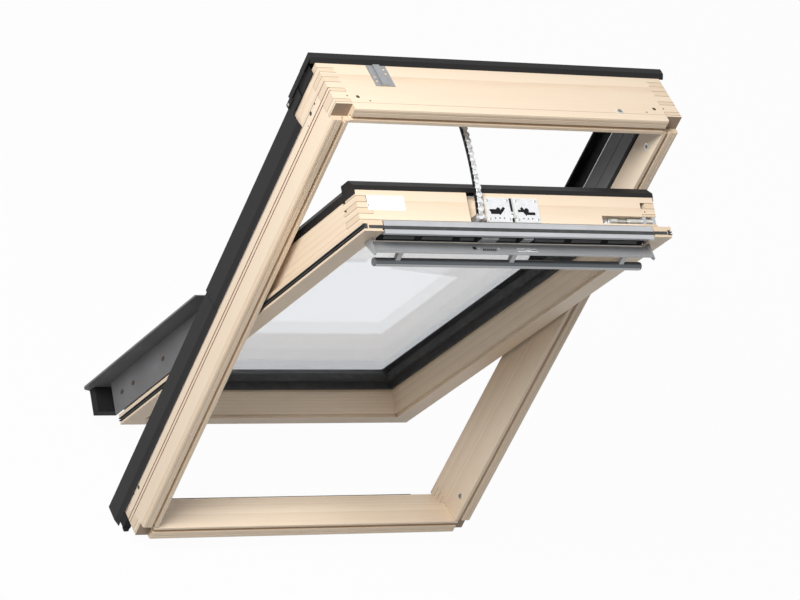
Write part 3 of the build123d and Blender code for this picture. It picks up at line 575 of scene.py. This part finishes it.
# Dark discs are painted shadow in the pin bores of the sash's corners.
holes = bmesh.new()
for x in (0.312, -0.312):
    disc(holes, (x, 0.063, timber_top), (0, 0, 1), 0.0016, hair)
bmesh.ops.transform(holes, matrix=sash_place, verts=holes.verts)
piece = solid("sash_pin_bore_shadows", holes, shadow)
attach(piece, "sash")

# Blank label on the sash's top edge
# White film with rounded corners, rubbed down on the timber.
film = Finish("label_film")
film_wave = film.noise(film.spot(), 120.0, 3.0)
film.set(Base_Color=film.ramp(film_wave, (0.3, (0.86, 0.86, 0.85)), (0.8, (0.74, 0.74, 0.73))),
         Roughness=0.35 + film_wave * 0.2)
film.bump(film_wave, 0.15, 0.0003)
label = bmesh.new()
bmesh.ops.create_grid(label, x_segments=1, y_segments=1, size=0.5,
                      matrix=at((-0.273, 0.068, timber_top + hair)) @ Matrix.Diagonal((0.082, 0.030, 1, 1)))
bmesh.ops.bevel(label, geom=label.verts[:], offset=0.002, segments=3, profile=0.5,
                affect="VERTICES", material=-1)
bmesh.ops.transform(label, matrix=sash_place, verts=label.verts)
piece = solid("blank_label", label, film)
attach(piece, "sash")

# Glass
# Two panes of clear float, faintly blue and a little smeared, on a dark hollow metal spacer.
float_glass = Finish("float_glass")
smear = float_glass.noise(float_glass.spot(), 9.0, 3.0)
float_glass.set(Base_Color=(0.885, 0.895, 0.91, 1.0), Roughness=smear * 0.02, IOR=1.22,
                Transmission_Weight=1.0)
dress(float_glass, "inner_pane", "outer_pane")


def drawn(name, colour, rough, along, metallic=0.9):
    """Anodised aluminium with the fine lines of the die along the bar."""
    metal = Finish(name)
    spot = metal.add("ShaderNodeTexCoord", out="Object")
    stretch = tuple(0.004 if axis == along else 1.0 for axis in "XYZ")
    lines = metal.noise(metal.spot(scale=stretch, source=spot), 1400.0, 2.0)
    haze = metal.noise(spot, 18.0, 3.0)
    pale = tuple(min(1.0, part * 1.1) for part in colour)
    dull = tuple(part * 0.82 for part in colour)
    metal.set(Base_Color=metal.ramp(lines * 0.6 + haze * 0.4, (0.3, pale), (0.7, dull)),
              Metallic=metallic, Roughness=rough + lines * 0.12)
    metal.bump(lines, 0.08, 0.00015)
    return metal


aluminium = drawn("aluminium", (0.56, 0.57, 0.59), 0.36, "X")
spacer_metal = drawn("spacer_metal", (0.10, 0.10, 0.105), 0.45, "X")
dress(spacer_metal, "glass_spacer")

# Sash covers
# Lacquered sheet again, dark above the pivot and grey below it. The lower ones have a skirt that
# slides over the frame's timber, with slots that let water out, painted as dark discs of shadow,
# and a moulded plug at each end.
dress(dark_sheet, *[name for name in nodes if name.startswith("sash_") and name.endswith("_cover")])
dress(grey_sheet, "sash_left_lower_cover", "sash_right_lower_cover")
dress(black_plastic, "sash_left_end_plug", "sash_right_end_plug")
# Dark discs of painted shadow stand for the skirt's slots.
slots = bmesh.new()
skirt_face = 0.3456
slot_out = 0.062
for side in (-1, 1):
    for high in (0.030, 0.085, 0.230):
        made = disc(slots, (side * skirt_face, slot_out, high), (side, 0, 0), 0.0050, hair)
        bmesh.ops.scale(slots, vec=(1, 1, 1.6), space=at((0, 0, -high)), verts=made)
bmesh.ops.transform(slots, matrix=sash_place, verts=slots.verts)
piece = solid("skirt_slot_shadows", slots, shadow)
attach(piece, "sash")

# Pivot hinges
# Zinc plated plates let into frame and sash. The sash's plates are held by pan head screws.
dress(zinc_steel, *[name for name in nodes if "hinge" in name])
hinge_screws = bmesh.new()
for side in (-1, 1):
    for out in (0.070, 0.084):
        for high in (0.512, 0.568):
            screw(hinge_screws, (side * 0.336, out, high), (side, 0, 0), 0.0030)
bmesh.ops.transform(hinge_screws, matrix=sash_place, verts=hinge_screws.verts)
piece = solid("hinge_screws", hinge_screws, zinc_steel, shadow)
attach(piece, "sash")

# Ventilation rail
# An aluminium extrusion between the sash stiles, with satin anodised ribs and a black seal in its
# groove. Grey gauze in its open front keeps insects out, on a black sheet that paints the shade of
# the recess between the panels.
flap_metal = drawn("flap_metal", (0.36, 0.365, 0.37), 0.42, "X", 0.25)
bar_metal_painted_shade = drawn("bar_metal_painted_shade", (0.40, 0.41, 0.42), 0.34, "X", 0.5)
# Faces of the bar and its brackets that look up are painted dark, as painted shade; the other faces keep a
# lighter grey.
bar_facing_for_shade = bar_metal_painted_shade.axes(bar_metal_painted_shade.add("ShaderNodeTexCoord", out="Normal"))
bar_metal_painted_shade.set(Base_Color=bar_metal_painted_shade.mixed(bar_facing_for_shade[2].over(0.25), (0.42, 0.43, 0.44, 1.0),
                                         (0.11, 0.12, 0.13, 1.0)))
dress(aluminium, "vent_rail")
dress(flap_metal, "vent_rail_ends", "vent_flap")
dress(bar_metal_painted_shade, "handle_bar", "handle_brackets")
gauze = Finish("insect_gauze")
gauze_spot = gauze.add("ShaderNodeTexCoord", out="Object")
warp, weft = (gauze.add("ShaderNodeTexWave", {"wave_type": "BANDS", "bands_direction": way},
                        {"Vector": gauze_spot, "Scale": 260.0}, out=1) for way in "XZ")
mesh_tone = warp * 0.5 + weft * 0.5
gauze.set(Base_Color=gauze.ramp(mesh_tone, (0.3, (0.06, 0.06, 0.062)), (0.7, (0.17, 0.17, 0.175))),
          Roughness=0.6 + mesh_tone * 0.1)
gauze.bump(mesh_tone, 0.4, 0.0002)
panel_width = 0.067
panel_pitch = 0.084
face_angle = math.radians(59.4)
slant = at((0, 0.00235, 1.0502)) @ Matrix.Rotation(face_angle, 4, "X")
panels = bmesh.new()
# A black sheet across the recess paints its shade; the gauze panels lie on it.
block(panels, (0.600, 0.0139, 0.0006), slant, 0.0002, 1, 1)
for k in range(-3, 4):
    block(panels, (panel_width, 0.0072, 0.0008), slant @ at((k * panel_pitch, 0.0010, 0.0005)),
          0.0003, 1)
bmesh.ops.transform(panels, matrix=sash_place, verts=panels.verts)
piece = solid("gauze_panels", panels, gauze, black_sheet_and_shade)
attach(piece, "sash")
rail_seal = bmesh.new()
block(rail_seal, (0.604, 0.0072, 0.0004), at((0, 0.0076, 1.0881)), 0.0001, 1)
block(rail_seal, (0.603, 0.0044, 0.0050), at((0, 0.0075, 1.0848)), 0.0008)
for side in (-1, 1):
    block(rail_seal, (0.033, 0.0066, 0.0006), at((side * 0.3190, 0.0085, 1.0882)), 0.0002)
bmesh.ops.transform(rail_seal, matrix=sash_place, verts=rail_seal.verts)
piece = solid("vent_rail_seal", rail_seal, rubber)
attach(piece, "sash")

# Latch of the ventilation flap
# A flat cast case at the left and a ribbed plate with a double hook at the right sit on the flap,
# beside its light edge bead. Their keepers are behind them, in the ventilation rail.
lock_steel = plated("lock_steel", (0.80, 0.81, 0.82), 0.34)
cast = plated("cast_zinc", (0.48, 0.49, 0.50), 0.40)
local_axis = sash_place.inverted() @ Vector(joints["vent_flap_hinge"]["pos_m"])
flap_out = Vector((0, -0.025, 0.017)).normalized()
flap_up = Vector((1, 0, 0)).cross(flap_out) * -1
flap_basis = Matrix((Vector((-1, 0, 0)), flap_out, flap_up)).transposed().to_4x4()
flap_place = sash_place @ at(local_axis) @ flap_basis
skin = 0.0016
comb_teeth = 7
comb_pitch = 0.0045
comb_start = 0.0135
case_box = bmesh.new()
middle = 0.058
block(case_box, (0.038, 0.010, 0.0012), at((middle, 0.0165, skin + 0.0006)), 0.0005)
for k in range(comb_teeth):
    tooth = middle - comb_start + k * comb_pitch
    block(case_box, (0.0016, 0.0030, 0.0030), at((tooth, 0.0215, skin + 0.0015)), 0.0003, 1, 1)
for side in (-1, 1):
    block(case_box, (0.0070, 0.0080, 0.0024), at((middle + side * 0.0225, 0.0165, skin + 0.0012)),
          0.0010)
    screw(case_box, (middle + side * 0.0228, 0.0170, skin + 0.0024), (0, 0, 1), 0.0024)
block(case_box, (0.0060, 0.0070, 0.0020), at((middle + 0.0310, 0.0160, skin + 0.0010)), 0.0006, 2, 1)
bmesh.ops.transform(case_box, matrix=flap_place, verts=case_box.verts)
bmesh.ops.recalc_face_normals(case_box, faces=case_box.faces[:])
piece = solid("flap_latch_case", case_box, cast, black_plastic)
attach(piece, "vent_flap")
hooks = bmesh.new()
middle = -0.028
block(hooks, (0.046, 0.0110, 0.0010), at((middle, 0.0195, skin + 0.0005)), 0.0003)
for k in range(3):
    block(hooks, (0.042, 0.0015, 0.0010), at((middle, 0.0162 + k * 0.0034, skin + 0.0013)),
          0.0003, 1, k % 2)
for side in (-1, 1):
    block(hooks, (0.0040, 0.0090, 0.0012), at((middle + side * 0.0055, 0.0180, skin + 0.0016)),
          0.0004)
block(hooks, (0.0150, 0.0032, 0.0012), at((middle, 0.0200, skin + 0.0016)), 0.0004)
bmesh.ops.transform(hooks, matrix=flap_place, verts=hooks.verts)
bmesh.ops.recalc_face_normals(hooks, faces=hooks.faces[:])
piece = solid("flap_latch_hooks", hooks, lock_steel, black_plastic)
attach(piece, "vent_flap")
bead = bmesh.new()
block(bead, (0.622, 0.0026, 0.0030), at((0, 0.0290, 0.0004)), 0.0010)
bmesh.ops.transform(bead, matrix=flap_place, verts=bead.verts)
bmesh.ops.recalc_face_normals(bead, faces=bead.faces[:])
piece = solid("flap_edge_bead", bead, aluminium)
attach(piece, "vent_flap")
for name, middle, width, front in (("latch_case", -0.058, 0.038, 0.0),
                                   ("latch_hook", 0.028, 0.022, 0.0008)):
    keeper = bmesh.new()
    block(keeper, (width, 0.0080, 0.0190), at((middle, 0.0012 + front, 1.0570)), 0.0012)
    for k in range(comb_teeth):
        tooth = middle - comb_start + k * comb_pitch
        block(keeper, (0.0016, 0.0008, 0.0040), at((tooth, -0.0028 + front, 1.0498)), 0.0002, 1, 1)
    block(keeper, (0.0080, 0.0060, 0.0150), at((middle - width / 2 - 0.0050, 0.0020, 1.0565)),
          0.0010, 1, 1)
    bmesh.ops.transform(keeper, matrix=sash_place, verts=keeper.verts)
    piece = solid("keeper_of_" + name, keeper, cast, black_plastic)
    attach(piece, "sash")
    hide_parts(name)

# Handle bar ends
# Moulded grey caps are pressed into the ends of the bar.
bar_centre = local_axis + Vector((0, -0.0325, -0.0155))
cap_plastic = Finish("cap_plastic")
cap_grain = cap_plastic.noise(cap_plastic.spot(), 1100.0)
cap_plastic.set(Base_Color=cap_plastic.ramp(cap_grain, (0.3, (0.10, 0.10, 0.105)),
                                            (0.8, (0.15, 0.15, 0.155))),
                Roughness=0.45 + cap_grain * 0.1)
cap_plastic.bump(cap_grain, 0.2, 0.0001)
caps = bmesh.new()
bar_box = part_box("handle_bar")
for side, end in ((-1, bar_box[0][0]), (1, bar_box[1][0])):
    disc(caps, (end, bar_centre.y, bar_centre.z), (side, 0, 0), 0.0083, 0.0020, 28)
bmesh.ops.transform(caps, matrix=sash_place, verts=caps.verts)
piece = solid("handle_end_caps", caps, cap_plastic)
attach(piece, "vent_flap")

# Lock plates and their screws
# Two zinc plated plates with bent keyholes for the ventilation lock, screwed to the top of the
# sash, and a strip with a slot and a small catch between them. The keyholes, the plates' small
# square holes and the slot are painted black as their shade, over a black floor of painted shade.
dress(lock_steel, "left_lock_plate", "right_lock_plate")
plate_thick = 0.002
lock_top = timber_top + plate_thick
plate_middles = (-0.027, 0.037)
plate_out = 0.059
lock_parts = bmesh.new()
for x in plate_middles:
    for side in (-1, 1):
        for out in (0.040, 0.078):
            screw(lock_parts, (x + side * 0.022, out, lock_top), (0, 0, 1), 0.0028)
    for k in (-1, 0, 1):
        block(lock_parts, (0.0026, 0.0026, 0.0003), at((x + k * 0.010, 0.0420, lock_top)), 0.0001, 1, 1)
block(lock_parts, (0.0084, 0.050, plate_thick),
      at((0.0050, plate_out, timber_top + plate_thick / 2)), 0.0003, 1)
for low_out, high_out in ((0.0345, 0.0500), (0.0560, 0.0830)):
    block(lock_parts, (0.0050, high_out - low_out, 0.0003),
          at((0.0030, (low_out + high_out) / 2, lock_top)), 0.0001, 1, 1)
block(lock_parts, (0.0110, 0.0060, 0.0016), at((0.0060, 0.0450, lock_top + 0.0008)), 0.0004, 1)
# Dark bars on the plates are the bent keyholes, painted as their shade.
for middle, out, span, angle in ((-0.036, 0.0530, 0.018, 0), (-0.020, 0.0570, 0.019, 47),
                                 (0.046, 0.0525, 0.018, 0), (0.0305, 0.0570, 0.019, 128)):
    keyhole_shade_bar = at((middle, out, lock_top + 0.0001)) @ Matrix.Rotation(math.radians(angle), 4, "Z")
    block(lock_parts, (span, 0.0058, 0.0006), keyhole_shade_bar, 0.0002, 1, 1)
bmesh.ops.transform(lock_parts, matrix=sash_place, verts=lock_parts.verts)
piece = solid("lock_plate_screws", lock_parts, zinc_steel, black_plastic)
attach(piece, "sash")
keyhole_shade_floor = bmesh.new()
# A black floor under the plates paints the shade seen through the keyholes.
for x in plate_middles:
    block(keyhole_shade_floor, (0.034, 0.016, 0.0004), at((x - 0.003, plate_out, timber_top + 0.0003)),
          0.0001, 1)
bmesh.ops.transform(keyhole_shade_floor, matrix=sash_place, verts=keyhole_shade_floor.verts)
piece = solid("keyhole_shade_floors", keyhole_shade_floor, black_plastic)
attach(piece, "sash")

# Security bolt
# A plated round bolt with a slim middle, sliding in two saddles in the recess at the right.
dress(zinc_steel, "security_bolt")
dress(cast, "bolt_guide")
bolt_out = 0.045
recess_floor = timber_top - 0.0146
guide = bmesh.new()
block(guide, (0.112, 0.0146, 0.0008), at((0.277, bolt_out, recess_floor)), 0.0003, 1)
for x in (0.2225, 0.294):
    screw(guide, (x, bolt_out, recess_floor + 0.0004), (0, 0, 1), 0.0028)
bmesh.ops.transform(guide, matrix=sash_place, verts=guide.verts)
piece = solid("bolt_floor_plate", guide, cast, black_plastic)
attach(piece, "sash")

# Chain opener
# A flat anodised housing under the top rail, with moulded end caps and a slot for the chain, painted as a
# thin dark block of shadow.
operator_metal = drawn("operator_metal", (0.50, 0.51, 0.52), 0.38, "X")
low, high = (Vector(corner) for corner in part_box("chain_operator"))
size = high - low
middle = (low + high) / 2
end_cap = 0.006
housing = bmesh.new()
block(housing, (size.x - 2 * end_cap, size.y - 0.0008, size.z), at(middle), 0.004, 3)
for side in (-1, 1):
    block(housing, (end_cap, size.y, size.z), at(middle + Vector((side * (size.x - end_cap) / 2, 0, 0))),
          0.0022, 3, 1)
piece = solid("opener_housing", housing, operator_metal, cap_plastic)
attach(piece, "frame")
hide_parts("chain_operator")
slot_shadow_block = bmesh.new()
chain_x = -0.074
pin_height = timber_top + 0.008
block(slot_shadow_block, (0.020, 0.0006, 0.014), at((chain_x, low.y - 0.0002, high.z - 0.020)), 0.0002, 1)
piece = solid("chain_slot_shadow", slot_shadow_block, shadow)
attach(piece, "frame")
dress(cast, "chain_bracket")
clevis = bmesh.new()
for side in (-1, 1):
    screw(clevis, (chain_x + side * 0.009, 0.040, pin_height), (side, 0, 0), 0.0034)
bmesh.ops.transform(clevis, matrix=sash_place, verts=clevis.verts)
piece = solid("chain_pin_heads", clevis, zinc_steel, shadow)
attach(piece, "sash")

# Push chain
# Plated links, each of two pressed plates with round lobes, on rivets, with a black strip of painted
# shade along their left edge. The chain leans out in a shallow bow from the opener to its bracket.
chain_end = sash_place @ Vector((chain_x, 0.0424, pin_height))
chain_start = Vector((chain_x, 0.019, 1.122))
along = chain_end - chain_start
normal = Vector((0, -along.z, along.y)).normalized()
bow = -0.013
pitch = 0.0135
count = int(along.length / pitch)


def on_chain(part):
    """The place on the bow, and the way that the chain runs there."""
    spot = chain_start + along * part + normal * bow * 4 * part * (1 - part)
    way = along + normal * bow * 4 * (1 - 2 * part)
    return spot, way.normalized()


links = bmesh.new()
lobe = 0.0066
plate = 0.0015
across = Vector((1, 0, 0))
quarter = Matrix.Rotation(math.radians(90), 4, "X")
for k in range(count):
    spot, way = on_chain((k + 0.5) / count)
    basis = Matrix((across, way.cross(across), way)).transposed().to_4x4()
    layer = 0.0034 if k % 2 else 0.0017
    for side in (-1, 1):
        level = at(spot) @ basis @ at((0, side * layer, 0))
        block(links, (lobe * 1.35, plate, pitch), level, 0.0004, 1)
        for end in (-1, 1):
            flat = level @ at((0, 0, end * pitch / 2)) @ quarter
            bmesh.ops.create_cone(links, cap_ends=True, segments=20, radius1=lobe, radius2=lobe,
                                  depth=plate, matrix=flat)
    # A black strip along the left edge of each link is painted shade.
    block(links, (0.0012, 0.0080, pitch), at(spot) @ basis @ at((-0.0062, 0, 0)), 0.0002, 1, 1)
    joint_at = on_chain(k / count)[0]
    rivet = at(joint_at) @ basis @ quarter
    bmesh.ops.create_cone(links, cap_ends=True, segments=14, radius1=0.0022, radius2=0.0022,
                          depth=0.0096, matrix=rivet)
piece = solid("push_chain", links, lock_steel, black_plastic)
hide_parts("opening_chain")
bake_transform(piece)
